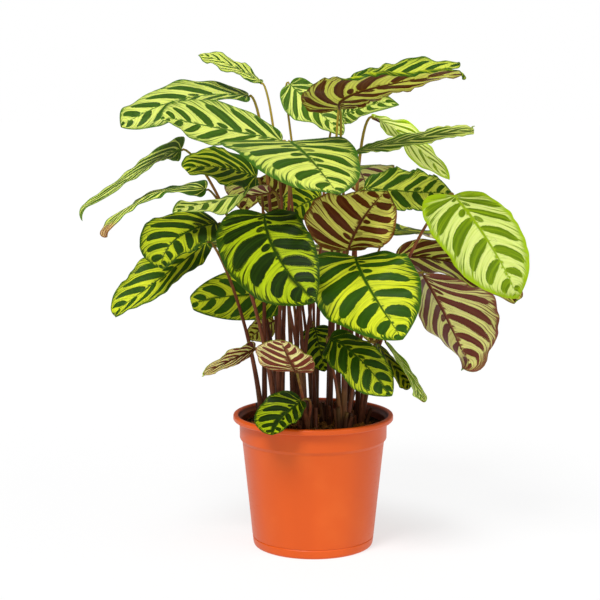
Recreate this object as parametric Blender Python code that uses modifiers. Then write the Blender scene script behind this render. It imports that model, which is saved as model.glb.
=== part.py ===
# Potted calathea: a clump of broad, patterned leaves on long thin stalks, growing out of the soil of a
# tapered plastic nursery pot. The pot stands on the XY plane with its axis on Z, and -Y is the front.
# The model is in metres. The sizes in this file are millimetres, and mm() turns them into metres.

import math

import bmesh
import bpy
import numpy as np

GAP = 0.3  # kept between pieces that touch

# The pot
POT_HEIGHT = 158.0
RIM_RADIUS = 95.0
RIM_OPENING_RADIUS = 89.0
RIM_DEPTH = 7.0
COLLAR_RADIUS = 87.5
COLLAR_BOTTOM = 129.0
BODY_TOP_RADIUS = 84.4
BASE_RADIUS = 71.5
GROOVE_HEIGHT = 11.0
GROOVE_DEPTH = 0.8
INNER_BASE_RADIUS = 69.4
INNER_TOP_RADIUS = 85.6
FLOOR_HEIGHT = 4.0
FOOT_DISC_RADIUS = 32.0
FOOT_RING_RADIUS = 58.0
RECESS_DEPTH = 2.0
DRAIN_HOLES = 8
DRAIN_RADIUS = 4.5
DRAIN_CIRCLE_RADIUS = 45.0
POT_STEPS = 40

# The soil and the shoots that stand in its holes
SOIL_TOP = 146.0
SOIL_MOUND = 2.0
FOOT_RADIUS = 8.0
FOOT_DEPTH = 22.0
FOOT_SIDES = 12
STALK_ROOT_DEPTH = 8.0
STALK_SPREAD = 4.0  # how far from the middle of its shoot a stalk starts
STALK_FOOT_RADIUS = 1.9
STALK_TOP_RADIUS = 1.2
STALK_STEPS = 8
STALK_RISE = 0.55  # share of its height over which a stalk rises nearly upright
STALK_LEAN = 0.12  # share of its way out that it has gone by then
PETIOLE_REACH = 18.0  # length over which a stalk bends into line with its blade
PETIOLE_STRAIGHT = 3.0
NECK_GAP = 0.6

# The blades
BLADE_THICKNESS = 0.8
BLADE_ALONG = 12
BLADE_ACROSS = 4
LOBE = 0.16  # how far the two lobes at its base reach back past the neck, as a share of its width
HOOK_START = 0.82  # share of its length past which its tip bends down
LEFT_RIPPLE_PHASE = 1.3  # keeps the ripples of the two margins out of step

# Where each shoot stands in the soil
SHOOTS = {
    "front_left": (-38, -42),
    "front": (-6, -52),
    "front_right": (34, -44),
    "left": (-56, 0),
    "middle_left": (-20, -8),
    "middle_right": (16, -6),
    "right": (52, -4),
    "back_left": (-36, 40),
    "back": (2, 36),
    "back_right": (40, 40),
}

LEAVES = {}


def leaf(name, shoot, neck, waist, tip, half_widths, face, fold=(0, 0), curl=(0, 0), twist=0,
         wave=3, waves=2.5, phase=0, widest=0.42, hook=6, lean=(0, 0), shows="green"):
    """One leaf. The blade runs from its neck through its waist to its tip, and face is the way that
    its top side looks. fold tilts the left and right halves up about the midrib, curl bends them,
    twist turns the blade along its length (all in degrees). wave is the height of the ripples in the
    margin, waves is how many there are, and phase, in radians, is where they start. widest is the
    share of the blade's length at which it is widest, hook is how far the tip bends down, and lean is
    how far the stalk's middle is pushed aside in the plan, to pass its neighbours. shows is the
    finish of the side turned to the front."""
    LEAVES[name] = {
        "shoot": shoot, "neck": neck, "waist": waist, "tip": tip, "half_widths": half_widths,
        "face": face, "fold": fold, "curl": curl, "twist": twist, "wave": wave, "waves": waves,
        "phase": phase, "widest": widest, "hook": hook, "lean": lean, "shows": shows,
    }


# High on the left
leaf("top_left", "middle_left", (-61, 22, 547), (-99, 38, 568), (-137, 60, 581), (12, 19), (-0.21, -0.4, 1),
     fold=(-1, -11), curl=(-11, -1), twist=-26, wave=3.1, waves=2.6, phase=1.7, widest=0.55, hook=-1,
     shows="pale")
leaf("high_left", "back_left", (-77, 47, 532), (-157, 25, 527), (-224, 0, 495), (36, 43), (1, 0.28, 0.71),
     fold=(-7, 16), curl=(-17, -2), twist=21, wave=6.5, waves=1.2, phase=4.8, widest=0.45, hook=-5)
leaf("high_left_front", "front_left", (-36, -20, 481), (-121, -48, 498), (-166, -82, 509), (25, 33),
     (-0.21, -1, 0.71), fold=(4, 4), curl=(5, 4), twist=-16, wave=3.7, waves=1.4, phase=4.6, widest=0.48,
     hook=5)
leaf("long_left", "back_left", (-157, 45, 468), (-203, 42, 446), (-273, 1, 392), (32, 35), (-1, -0.3, 0.29),
     fold=(-1, 6), curl=(-1, 7), twist=-32, wave=1.4, waves=2, phase=2.6, widest=0.36, hook=-9,
     lean=(0, 25))
leaf("striped_left", "left", (-67, 25, 436), (-106, 0, 449), (-152, -35, 450), (33, 33),
     (-0.2, -0.7, 0.8), fold=(0, 10), curl=(-10, 0))
leaf("long_left_low", "back_left", (-126, 12, 423), (-193, -2, 416), (-246, -40, 371), (24, 36),
     (-1, -0.13, 0.28), fold=(-14, 10), curl=(-25, 12), twist=-12, wave=1.9, waves=2.2, phase=2.5,
     widest=0.46, hook=2, lean=(0, 20))
leaf("narrow_left", "front_left", (-50, -33, 422), (-115, -57, 413), (-154, -114, 408), (34, 15),
     (1, 0.7, 0.57), fold=(4, 14), curl=(-7, -5), twist=67, wave=6.5, waves=1.2, phase=0.4, widest=0.37,
     hook=3)

# Low on the left
leaf("folded_left", "front_left", (-109, -50, 388), (-152, -90, 375), (-169, -110, 344), (34, 50),
     (-0.35, -0.8, 0.6), curl=(10, -10), lean=(0, -10))
leaf("low_left", "left", (-125, 10, 360), (-176, -40, 324), (-234, -60, 283), (22, 36),
     (-0.35, -0.8, 0.6), curl=(10, 10), lean=(0, -12))
leaf("inner_low_left", "middle_left", (-34, 22, 296), (-87, 20, 297), (-152, 15, 286), (31, 31),
     (-0.1, -1, 0.15))
leaf("thin_low_left", "front_left", (-69, -16, 238), (-96, -49, 231), (-132, -80, 218), (14, 14),
     (-0.9, 1, 0.78), fold=(3, 2), curl=(2, 0), twist=-6, wave=1.4, waves=2.7, phase=4.1, widest=0.32,
     hook=5, shows="turned")
leaf("inner_low_turned", "back_left", (-48, 82, 257), (-64, 76, 247), (-79, 70, 236), (17, 17),
     (-0.2, 0.9, 0.3), shows="turned")

# The middle, from the rim up
leaf("rim_front", "front", (-14, -74, 188), (-37, -93, 171), (-46, -118, 156), (21, 31), (-0.39, -0.9, 1),
     fold=(3, 5), curl=(14, 15), twist=-10, wave=1.7, waves=1.6, phase=5.3, widest=0.44, hook=-3)
leaf("small_front", "front", (-20, -90, 225), (-29, -109, 245), (-37, -122, 268), (28, 43), (0.53, 1, 0.78),
     fold=(5, 4), curl=(-5, -6), twist=-6, wave=2.7, waves=1.4, phase=3.1, widest=0.45, hook=4,
     shows="turned")
leaf("inner_low", "back", (2, 18, 258), (8, 16, 232), (14, 12, 206), (22, 22),
     (0.1, -1, 0.1))
leaf("centre_front", "front", (-55, -97, 402), (-39, -148, 360), (1, -175, 315), (42, 61), (0.05, -1, 0.36),
     fold=(15, 12), curl=(-1, 14), twist=-13, wave=3, waves=3.2, phase=1.6, widest=0.48, hook=-1)
leaf("centre_right", "front_right", (46, -84, 353), (61, -125, 322), (94, -164, 274), (55, 64),
     (0.19, -1, -0.23), fold=(-7, 10), curl=(2, 25), twist=-30, wave=6.2, waves=3, phase=5.7, widest=0.54,
     hook=3)
leaf("centre_turned", "front_right", (39, -68, 359), (56, -64, 395), (82, -88, 431), (43, 63),
     (0.57, 1, 0.54), fold=(-13, -19), curl=(-20, -26), twist=45, wave=6.1, waves=3.8, phase=5, widest=0.48,
     hook=5, shows="turned")
leaf("inner_centre", "middle_left", (10, 10, 415), (-11, 0, 407), (-32, -20, 396), (25, 25),
     (0.2, -0.9, 0.5))
leaf("inner_left_turned", "middle_left", (-25, 64, 399), (-45, 64, 416), (-67, 62, 433), (26, 26),
     (-0.3, 0.9, 0.4), shows="turned")
leaf("crown_front", "front", (-27, -62, 481), (-2, -118, 461), (26, -169, 426), (62, 92), (0.19, -0.83, 1),
     fold=(-8, 14), curl=(1, -5), twist=-8, wave=5.5, waves=1.2, phase=4.7, widest=0.28, hook=-4,
     shows="pale")
leaf("crown_back", "back", (-28, 93, 546), (8, 70, 512), (36, 47, 487), (24, 31), (0.88, -1, 0.09),
     fold=(23, -8), curl=(25, 2), twist=-28, wave=5, waves=1.6, phase=1.3, widest=0.41, hook=2,
     lean=(6, 10))

# High on the right
leaf("crown_back_right", "back", (30, 111, 504), (57, 106, 516), (94, 72, 527), (30, 36),
     (-0.37, -1, 0.92), fold=(23, 12), curl=(34, 23), twist=29, wave=1.7, waves=2.2, phase=3.9, widest=0.41,
     hook=14)
leaf("top_right", "middle_right", (34, 21, 532), (89, -23, 552), (173, -58, 565), (26, 33),
     (-0.52, -0.16, 1), fold=(30, 0), curl=(1, 1), twist=1, wave=2, waves=2, phase=4.3, widest=0.28,
     hook=-2)
leaf("top_right_turned", "front_right", (29, -44, 517), (59, -91, 539), (175, -129, 558), (30, 52),
     (0.11, 0.78, 1), fold=(9, -12), curl=(10, -13), twist=23, wave=2.4, waves=4.2, phase=3.3, widest=0.44,
     hook=1, lean=(-5, -4), shows="turned")
leaf("dark_right", "middle_right", (48, -34, 469), (117, -66, 485), (184, -83, 497), (21, 20),
     (0.15, -0.41, 1), fold=(2, -2), curl=(3, -2), twist=-3, wave=0.8, waves=3.7, phase=4.1, widest=0.49,
     hook=8, lean=(0, 8))
leaf("pale_right", "back_right", (72, 50, 506), (112, 50, 481), (160, 23, 433), (24, 34), (-0.2, -0.17, 1),
     fold=(6, 4), curl=(7, 4), twist=-15, wave=4.2, waves=1.8, phase=1.8, widest=0.41, hook=-1,
     shows="pale")
leaf("mid_right", "right", (60, 20, 424), (122, -9, 421), (156, -33, 422), (26, 36), (-0.22, -0.99, 1),
     fold=(26, 7), curl=(24, 7), twist=39, wave=2.8, waves=4.2, phase=6.1, widest=0.32, hook=7)

# Low on the right
leaf("big_right", "right", (157, -66, 421), (193, -101, 371), (225, -116, 311), (49, 60), (0.29, -1, 0.46),
     fold=(-7, 1), curl=(2, 11), twist=29, wave=1.7, waves=2.4, phase=0.7, widest=0.28, hook=8,
     shows="pale")
leaf("right_turned", "back_right", (99, 30, 342), (182, 40, 329), (255, 40, 283), (35, 35),
     (-0.1, 0.7, 0.8), curl=(10, 10), wave=4, shows="turned")
leaf("hanging_right", "right", (128, -21, 326), (159, 5, 270), (187, 17, 211), (57, 61), (0.87, 0.68, -1),
     fold=(10, 12), curl=(16, 24), twist=28, wave=6.5, waves=1.9, phase=2.6, widest=0.56, hook=-6,
     lean=(0, -15), shows="turned")
leaf("low_right", "front_right", (18, -92, 263), (51, -117, 243), (83, -131, 204), (27, 31),
     (0.87, -1, -0.29), fold=(-8, 0), curl=(-9, 0), twist=24, wave=2.9, waves=2.5, phase=5.5, widest=0.57,
     hook=-8)
leaf("low_right_inner", "front_right", (73, -42, 248), (98, -55, 216), (111, -59, 200), (16, 25),
     (1, -0.72, 0.47), fold=(-2, 10), curl=(-2, 11), twist=20, wave=1.3, waves=2.2, phase=6.2, widest=0.45,
     hook=1)
leaf("narrow_low_right", "right", (84, -46, 251), (114, -59, 207), (123, -69, 185), (18, 26),
     (0.82, -0.36, 1), fold=(-3, 9), curl=(-3, 10), twist=10, wave=1.2, waves=1.5, phase=3.6, widest=0.52,
     hook=-2)

# The back
leaf("back_left", "back", (-45, 115, 425), (-68, 170, 425), (-90, 225, 385), (46, 46), (-0.2, 0.5, 0.9))
leaf("back_right", "back_right", (40, 110, 440), (58, 168, 440), (76, 228, 402), (48, 48), (0.1, 0.5, 0.9))
leaf("back_centre", "back", (0, 120, 345), (-4, 178, 335), (-10, 232, 290), (52, 52), (0, 0.6, 0.8))
leaf("back_side_right", "back_right", (92, 75, 365), (140, 118, 365), (186, 158, 335), (43, 43),
     (0.4, 0.3, 0.9))
leaf("back_side_left", "back_left", (-88, 80, 350), (-132, 122, 350), (-176, 160, 320), (43, 43),
     (-0.4, 0.3, 0.9))
leaf("back_low", "back_right", (40, 90, 265), (62, 135, 255), (84, 175, 215), (38, 38), (0.2, 0.6, 0.7))


def mm(*values):
    """Millimetres to metres: one number, or a tuple of them."""
    metres = tuple(value / 1000 for value in values)
    return metres if len(metres) > 1 else metres[0]


def clear_scene():
    for item in list(bpy.data.objects):
        bpy.data.objects.remove(item, do_unlink=True)


def new_collection(name):
    collection = bpy.data.collections.new(name)
    bpy.context.scene.collection.children.link(collection)
    return collection


def material(name, colour, roughness, metallic=0.0):
    made = bpy.data.materials.new(name)
    made.use_nodes = True
    made.diffuse_color = (*colour, 1)
    shader = made.node_tree.nodes["Principled BSDF"]
    shader.inputs["Base Color"].default_value = (*colour, 1)
    shader.inputs["Roughness"].default_value = roughness
    shader.inputs["Metallic"].default_value = metallic
    return made


def add_object(name, mesh, collection, surface=None):
    item = bpy.data.objects.new(name, mesh)
    collection.objects.link(item)
    if surface is not None:
        mesh.materials.append(surface)
    return item


def as_cutter(item):
    item.hide_render = True
    item.display_type = "WIRE"


def turned(name, profile, collection, surface):
    """A solid turned about Z from a profile of (radius, height) pairs that runs down its outer side."""
    mesh = bpy.data.meshes.new(name)
    bm = bmesh.new()
    points = [bm.verts.new((mm(radius), 0, mm(height))) for radius, height in profile]
    for start, end in zip(points, points[1:]):
        bm.edges.new((start, end))
    bm.to_mesh(mesh)
    bm.free()
    item = add_object(name, mesh, collection, surface)
    screw = item.modifiers.new("turn", "SCREW")
    screw.steps = POT_STEPS
    screw.render_steps = POT_STEPS
    screw.use_merge_vertices = True
    screw.merge_threshold = 0.00005
    screw.use_smooth_shade = True
    return item


def cone(name, radius_low, radius_high, low, high, place, sides, collection, surface=None):
    """An upright cylinder or cone between two heights, at a place in the plan."""
    mesh = bpy.data.meshes.new(name)
    bm = bmesh.new()
    bmesh.ops.create_cone(bm, cap_ends=True, segments=sides, radius1=mm(radius_low),
                          radius2=mm(radius_high), depth=mm(high - low))
    bmesh.ops.translate(bm, verts=bm.verts, vec=mm(*place, (low + high) / 2))
    bm.to_mesh(mesh)
    bm.free()
    return add_object(name, mesh, collection, surface)


def cut(item, cutters):
    drill = item.modifiers.new("holes", "BOOLEAN")
    drill.operation = "DIFFERENCE"
    drill.operand_type = "COLLECTION"
    drill.collection = cutters
    drill.solver = "EXACT"


def inner_radius(height):
    """The pot's inner wall is one straight taper from its floor to its collar."""
    share = (height - FLOOR_HEIGHT) / (POT_HEIGHT - RIM_DEPTH - FLOOR_HEIGHT)
    return INNER_BASE_RADIUS + (INNER_TOP_RADIUS - INNER_BASE_RADIUS) * share


def body_radius(height):
    """The pot's outer wall below the collar."""
    share = height / COLLAR_BOTTOM
    return BASE_RADIUS + (BODY_TOP_RADIUS - BASE_RADIUS) * share


def build_pot(collection, surface):
    lip_bottom = POT_HEIGHT - RIM_DEPTH
    profile = [
        (0, FLOOR_HEIGHT),
        (INNER_BASE_RADIUS - 1.5, FLOOR_HEIGHT),
        (inner_radius(FLOOR_HEIGHT + 1.5), FLOOR_HEIGHT + 1.5),
        (INNER_TOP_RADIUS, lip_bottom),
        (RIM_OPENING_RADIUS - 1, POT_HEIGHT - 4),
        (RIM_OPENING_RADIUS, POT_HEIGHT - 1.2),
        (RIM_OPENING_RADIUS + 1.2, POT_HEIGHT),
        (RIM_RADIUS - 2, POT_HEIGHT),
        (RIM_RADIUS - 0.6, POT_HEIGHT - 0.6),
        (RIM_RADIUS, POT_HEIGHT - 2),
        (RIM_RADIUS, lip_bottom + 1.5),
        (RIM_RADIUS - 1, lip_bottom + 0.3),
        (COLLAR_RADIUS + 0.8, lip_bottom),
        (COLLAR_RADIUS, lip_bottom - 0.8),
        (COLLAR_RADIUS - 0.3, COLLAR_BOTTOM + 1),
        (COLLAR_RADIUS - 1.2, COLLAR_BOTTOM),
        (BODY_TOP_RADIUS, COLLAR_BOTTOM - 1.2),
        (body_radius(GROOVE_HEIGHT + 1), GROOVE_HEIGHT + 1),
        (body_radius(GROOVE_HEIGHT) - GROOVE_DEPTH, GROOVE_HEIGHT),
        (BASE_RADIUS, GROOVE_HEIGHT / 4),
        (BASE_RADIUS - 0.8, 0.8),
        (BASE_RADIUS - 2.5, 0),
        (FOOT_RING_RADIUS, 0),
        (FOOT_RING_RADIUS - 1.5, RECESS_DEPTH),
        (FOOT_DISC_RADIUS + 1.5, RECESS_DEPTH),
        (FOOT_DISC_RADIUS, 0),
        (0, 0),
    ]
    pot = turned("pot", profile, collection, surface)
    cutters = new_collection("drain hole cutters")
    for number in range(DRAIN_HOLES):
        angle = 2 * math.pi * number / DRAIN_HOLES
        place = (DRAIN_CIRCLE_RADIUS * math.cos(angle), DRAIN_CIRCLE_RADIUS * math.sin(angle))
        as_cutter(cone(f"drain_cutter_{number}", DRAIN_RADIUS, DRAIN_RADIUS, -1, FLOOR_HEIGHT + 1,
                       place, FOOT_SIDES, cutters))
    cut(pot, cutters)


def build_soil(collection, surface):
    edge = SOIL_TOP - SOIL_MOUND
    floor = FLOOR_HEIGHT + GAP
    profile = [
        (0, SOIL_TOP),
        (inner_radius(SOIL_TOP) / 2, SOIL_TOP - SOIL_MOUND / 4),
        (inner_radius(edge) - GAP - 3, edge + 0.5),
        (inner_radius(edge) - 1.5 * GAP, edge - 1),
        (inner_radius(floor + 3) - 1.5 * GAP, floor + 3),
        (INNER_BASE_RADIUS - 3, floor),
        (0, floor),
    ]
    soil = turned("soil", profile, collection, surface)
    cutters = new_collection("shoot hole cutters")
    for name, place in SHOOTS.items():
        as_cutter(cone(f"shoot_cutter_{name}", FOOT_RADIUS + GAP, FOOT_RADIUS + GAP,
                       SOIL_TOP - FOOT_DEPTH - GAP, SOIL_TOP + 5, place, FOOT_SIDES, cutters))
    cut(soil, cutters)


def unit(vector):
    return vector / np.linalg.norm(vector, axis=-1, keepdims=True)


def middle_control(blade):
    """The control point of the curve that runs from neck to tip through the waist."""
    neck, waist, tip = (np.array(blade[key], float) for key in ("neck", "waist", "tip"))
    return 2 * waist - (neck + tip) / 2


def neck_frame(blade):
    """The way that the midrib leaves the neck, and the way that the blade's top side looks there."""
    ahead = unit(middle_control(blade) - np.array(blade["neck"], float))
    right = unit(np.cross(ahead, np.array(blade["face"], float)))
    return ahead, np.cross(right, ahead)


def half_outline(along, widest):
    """Half the blade's width at a share of its length, where the widest place counts as 1."""
    behind = np.clip((widest - along) / widest, 0, 1)
    ahead = np.clip((along - widest) / (1 - widest), 0, 1)
    return np.where(along < widest, (1 - behind ** 2.6) ** 0.5, (1 - ahead ** 2.2) ** 0.78)


def blade_surface(blade, along, across):
    """Points on a blade's middle surface. along runs from 0 at the neck to 1 at the tip, and across
    from -1 at the left margin to 1 at the right one. Both are arrays."""
    neck, tip = np.array(blade["neck"], float), np.array(blade["tip"], float)
    control = middle_control(blade)
    t = along[:, None]
    v = across[:, None]
    midrib = (1 - t) ** 2 * neck + 2 * t * (1 - t) * control + t ** 2 * tip
    tangent = unit(2 * (1 - t) * (control - neck) + 2 * t * (tip - control))
    right = unit(np.cross(tangent, np.array(blade["face"], float)))
    normal = np.cross(right, tangent)
    turn = np.radians(blade["twist"]) * (t - 0.5)
    right, normal = (right * np.cos(turn) - normal * np.sin(turn),
                     normal * np.cos(turn) + right * np.sin(turn))
    side = np.where(v < 0, 0, 1)
    half_width, fold, curl = (np.take(blade[key], side) for key in ("half_widths", "fold", "curl"))
    distance = np.abs(v)
    outline = half_outline(t, blade["widest"])
    reach = half_width * outline * distance
    rise = np.radians(fold + curl * distance / 2)
    back = LOBE * 2 * half_width * outline * distance ** 1.5 * (1 - t) ** 3
    phase = 2 * math.pi * blade["waves"] * t + blade["phase"] + LEFT_RIPPLE_PHASE * (1 - side)
    ripple = blade["wave"] * distance ** 2 * np.sin(phase) * np.sqrt(np.sin(math.pi * t))
    drop = blade["hook"] * np.clip((t - HOOK_START) / (1 - HOOK_START), 0, 1) ** 2
    return (midrib - tangent * back + right * np.sign(v) * reach * np.cos(rise)
            + normal * (reach * np.sin(rise) + ripple - drop))


def build_blade(name, blade, collection, surface):
    mesh = bpy.data.meshes.new(name)
    bm = bmesh.new()
    bmesh.ops.create_grid(bm, x_segments=BLADE_ACROSS, y_segments=BLADE_ALONG, size=1)
    flat = np.array([vertex.co for vertex in bm.verts])
    evenly = np.clip((flat[:, 1] + 1) / 2, 0, 1)
    along = (1 - np.cos(math.pi * evenly)) / 2  # rows stand closer near neck and tip
    points = blade_surface(blade, along, flat[:, 0])
    for vertex, point in zip(bm.verts, points):
        vertex.co = mm(*point)
    bmesh.ops.remove_doubles(bm, verts=bm.verts, dist=0.00001)
    bmesh.ops.triangulate(bm, faces=bm.faces, quad_method="FIXED")
    bm.to_mesh(mesh)
    bm.free()
    mesh.shade_smooth()
    item = add_object(name, mesh, collection, surface)
    wall = item.modifiers.new("thickness", "SOLIDIFY")
    wall.thickness = mm(BLADE_THICKNESS)
    wall.offset = 0
    return item


def stalk_route(blade):
    """A stalk's middle line: upright out of its shoot, then over and, from the blade's underside,
    into line with the blade."""
    ahead, top = neck_frame(blade)
    neck = np.array(blade["neck"], float)
    foot = np.array((*SHOOTS[blade["shoot"]], SOIL_TOP - STALK_ROOT_DEPTH), float)
    outward = (neck - foot) * (1, 1, 0)
    start = foot + unit(outward) * STALK_SPREAD
    end = neck - ahead * (NECK_GAP + PETIOLE_STRAIGHT)
    lean = np.array((*blade["lean"], (neck[2] - foot[2]) * STALK_RISE))
    rise = start + outward * STALK_LEAN + lean
    arrive = end - ahead * PETIOLE_REACH - top * PETIOLE_REACH / 2
    t = np.linspace(0, 1, STALK_STEPS)[:, None]
    bend = ((1 - t) ** 3 * start + 3 * t * (1 - t) ** 2 * rise
            + 3 * t ** 2 * (1 - t) * arrive + t ** 3 * end)
    return np.vstack((bend, neck - ahead * NECK_GAP))


def build_stalk(name, route, collection):
    """A tapered tube along a route, as a closed mesh."""
    curve = bpy.data.curves.new(name, "CURVE")
    curve.dimensions = "3D"
    curve.bevel_depth = mm(1)
    curve.bevel_resolution = 1
    curve.use_fill_caps = True
    spline = curve.splines.new("POLY")
    spline.points.add(len(route) - 1)
    for number, (point, place) in enumerate(zip(spline.points, route)):
        share = number / (len(route) - 1)
        point.co = (*mm(*place), 1)
        point.radius = STALK_FOOT_RADIUS + (STALK_TOP_RADIUS - STALK_FOOT_RADIUS) * share
    line = bpy.data.objects.new(name, curve)
    collection.objects.link(line)
    bpy.context.view_layer.update()
    drawn = line.evaluated_get(bpy.context.evaluated_depsgraph_get())
    mesh = bpy.data.meshes.new_from_object(drawn)
    bm = bmesh.new()
    bm.from_mesh(mesh)
    bmesh.ops.remove_doubles(bm, verts=bm.verts, dist=0.00001)
    bm.to_mesh(mesh)
    bm.free()
    tube = bpy.data.objects.new(name, mesh)
    tube.matrix_world = line.matrix_world
    collection.objects.link(tube)
    bpy.data.objects.remove(line, do_unlink=True)
    return tube


def build_shoot(name, place, collection, surface):
    """The stalks of one shoot, joined by the short stout foot that stands in the soil."""
    item = cone(f"stalks_{name}", FOOT_RADIUS, FOOT_RADIUS * 0.8, SOIL_TOP - FOOT_DEPTH, SOIL_TOP + 1,
                place, FOOT_SIDES, collection, surface)
    stalks = new_collection(f"stalks of {name}")
    for leaf_name, blade in LEAVES.items():
        if blade["shoot"] == name:
            build_stalk(f"stalk_{leaf_name}", stalk_route(blade), stalks)
    join = item.modifiers.new("join", "BOOLEAN")
    join.operation = "UNION"
    join.operand_type = "COLLECTION"
    join.collection = stalks
    join.solver = "EXACT"
    bpy.context.view_layer.update()
    joined = bpy.data.meshes.new_from_object(item.evaluated_get(bpy.context.evaluated_depsgraph_get()))
    item.modifiers.remove(join)
    item.data = joined
    for stalk in list(stalks.objects):
        bpy.data.objects.remove(stalk, do_unlink=True)
    bpy.data.collections.remove(stalks)
    joined.shade_smooth()
    joined.set_sharp_from_angle(angle=math.radians(40))


def main():
    clear_scene()
    plant = new_collection("potted calathea")
    terracotta = material("terracotta plastic", (0.78, 0.12, 0.025), 0.38)
    potting_soil = material("potting soil", (0.035, 0.02, 0.01), 0.95)
    stalk_brown = material("stalk", (0.14, 0.045, 0.03), 0.45)
    leaf_finishes = {
        "green": material("green leaf", (0.2, 0.42, 0.03), 0.4),
        "pale": material("pale leaf", (0.5, 0.65, 0.2), 0.4),
        "turned": material("turned leaf", (0.25, 0.09, 0.05), 0.5),
    }
    build_pot(plant, terracotta)
    build_soil(plant, potting_soil)
    for name, place in SHOOTS.items():
        build_shoot(name, place, plant, stalk_brown)
    for name, blade in LEAVES.items():
        build_blade(f"blade_{name}", blade, plant, leaf_finishes[blade["shows"]])


main()
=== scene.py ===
# The looks of the potted calathea: every leaf, stalk, the pot and the soil, finely made around the packed
# frame. In the dictionaries lengths are millimetres and angles are degrees. -Y is the front and +Z is up.
import math
import random

import bpy
import numpy as np
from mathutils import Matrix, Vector, noise


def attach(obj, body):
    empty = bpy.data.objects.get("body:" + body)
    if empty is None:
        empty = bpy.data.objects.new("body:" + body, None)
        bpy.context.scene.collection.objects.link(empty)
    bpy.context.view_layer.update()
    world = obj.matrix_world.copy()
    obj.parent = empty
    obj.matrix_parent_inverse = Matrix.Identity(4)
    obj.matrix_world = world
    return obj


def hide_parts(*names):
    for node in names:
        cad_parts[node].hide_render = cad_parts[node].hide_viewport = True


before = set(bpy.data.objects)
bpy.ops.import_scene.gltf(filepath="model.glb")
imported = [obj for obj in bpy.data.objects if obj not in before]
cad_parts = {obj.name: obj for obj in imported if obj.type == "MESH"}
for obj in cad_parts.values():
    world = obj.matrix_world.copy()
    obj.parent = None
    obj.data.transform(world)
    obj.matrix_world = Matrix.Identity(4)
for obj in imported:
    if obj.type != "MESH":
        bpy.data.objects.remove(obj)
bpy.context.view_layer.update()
print("frame loaded")


def mm(value):  # millimetres, or an array of them, to metres
    return value * 0.001


def colour(red, green, blue):  # as a screen shows it, 0 to 255, to what a shader takes
    shares = [part / 255 for part in (red, green, blue)]
    return (*[part / 12.92 if part < 0.04045 else ((part + 0.055) / 1.055) ** 2.4 for part in shares], 1)


def unit(vector):
    return vector / np.linalg.norm(vector, axis=-1, keepdims=True)


def deselectAll():
    if bpy.context.object and bpy.context.object.mode != "OBJECT":
        bpy.ops.object.mode_set(mode="OBJECT")
    bpy.ops.object.select_all(action="DESELECT")


def pickOnly(piece):
    deselectAll()
    piece.select_set(True)
    bpy.context.view_layer.objects.active = piece


def addPiece(add, **settings):  # by one of Blender's own add operators
    deselectAll()
    add(**settings)
    return bpy.context.object


def editAll():  # opens the active piece's mesh with all of it selected
    bpy.ops.object.mode_set(mode="EDIT")
    bpy.ops.mesh.select_all(action="SELECT")


def applyModifiers(piece):
    pickOnly(piece)
    for modifier in list(piece.modifiers):
        bpy.ops.object.modifier_apply(modifier=modifier.name)


def applyPlace(piece):  # a finished piece's place is in its mesh
    pickOnly(piece)
    bpy.ops.object.transform_apply(location=True, rotation=True, scale=True)


def copyPiece(piece, name):
    twin = piece.copy()
    twin.data = piece.data.copy()
    twin.name = name
    bpy.context.scene.collection.objects.link(twin)
    return twin


def joinPieces(pieces, name):
    deselectAll()
    for piece in pieces:
        piece.select_set(True)
    bpy.context.view_layer.objects.active = pieces[0]
    bpy.ops.object.join()
    joined = bpy.context.object
    joined.name = name
    return joined


def giveAttribute(piece, name, *parts):  # one value a point or three, each an array or the same everywhere
    kind, field = ("FLOAT", "value") if len(parts) == 1 else ("FLOAT_VECTOR", "vector")
    columns = [np.broadcast_to(part, len(piece.data.vertices)) for part in parts]
    held = piece.data.attributes.new(name, kind, "POINT")
    held.data.foreach_set(field, np.column_stack(columns).astype(np.float32).ravel())


def readPoints(piece):
    flat = np.empty(len(piece.data.vertices) * 3, np.float32)
    piece.data.vertices.foreach_get("co", flat)
    return flat.reshape(-1, 3).astype(float)


def writePoints(piece, points):
    piece.data.vertices.foreach_set("co", np.ascontiguousarray(points, np.float32).ravel())
    piece.data.update()


def flowMaths(operation):  # a way for a shader socket to take part in Python sums
    return lambda first, *others: first.finish.node(
        "ShaderNodeMath", {"operation": operation}, dict(enumerate((first, *others))))


class Flow:  # one shader socket
    def __init__(self, finish, socket):
        self.finish = finish
        self.socket = socket

    def __rsub__(self, other):
        return self.finish.node("ShaderNodeMath", {"operation": "SUBTRACT"}, {0: other, 1: self})

    __add__ = __radd__ = flowMaths("ADD")
    __sub__ = flowMaths("SUBTRACT")
    __mul__ = __rmul__ = flowMaths("MULTIPLY")
    __truediv__ = flowMaths("DIVIDE")
    __pow__ = flowMaths("POWER")
    __abs__ = flowMaths("ABSOLUTE")
    __floor__ = flowMaths("FLOOR")
    sine = flowMaths("SINE")
    orElse = flowMaths("MAXIMUM")  # the larger of two masks

    def rise(self, low, high):  # a soft step from 0 at low to 1 at high, whichever of them is the larger
        return self.finish.node("ShaderNodeMapRange", {"interpolation_type": "SMOOTHSTEP"},
                                {"Value": self, "From Min": low, "From Max": high})

    def parts(self):
        return [self.finish.node("ShaderNodeSeparateXYZ", {}, {"Vector": self}, axis) for axis in "XYZ"]


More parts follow.
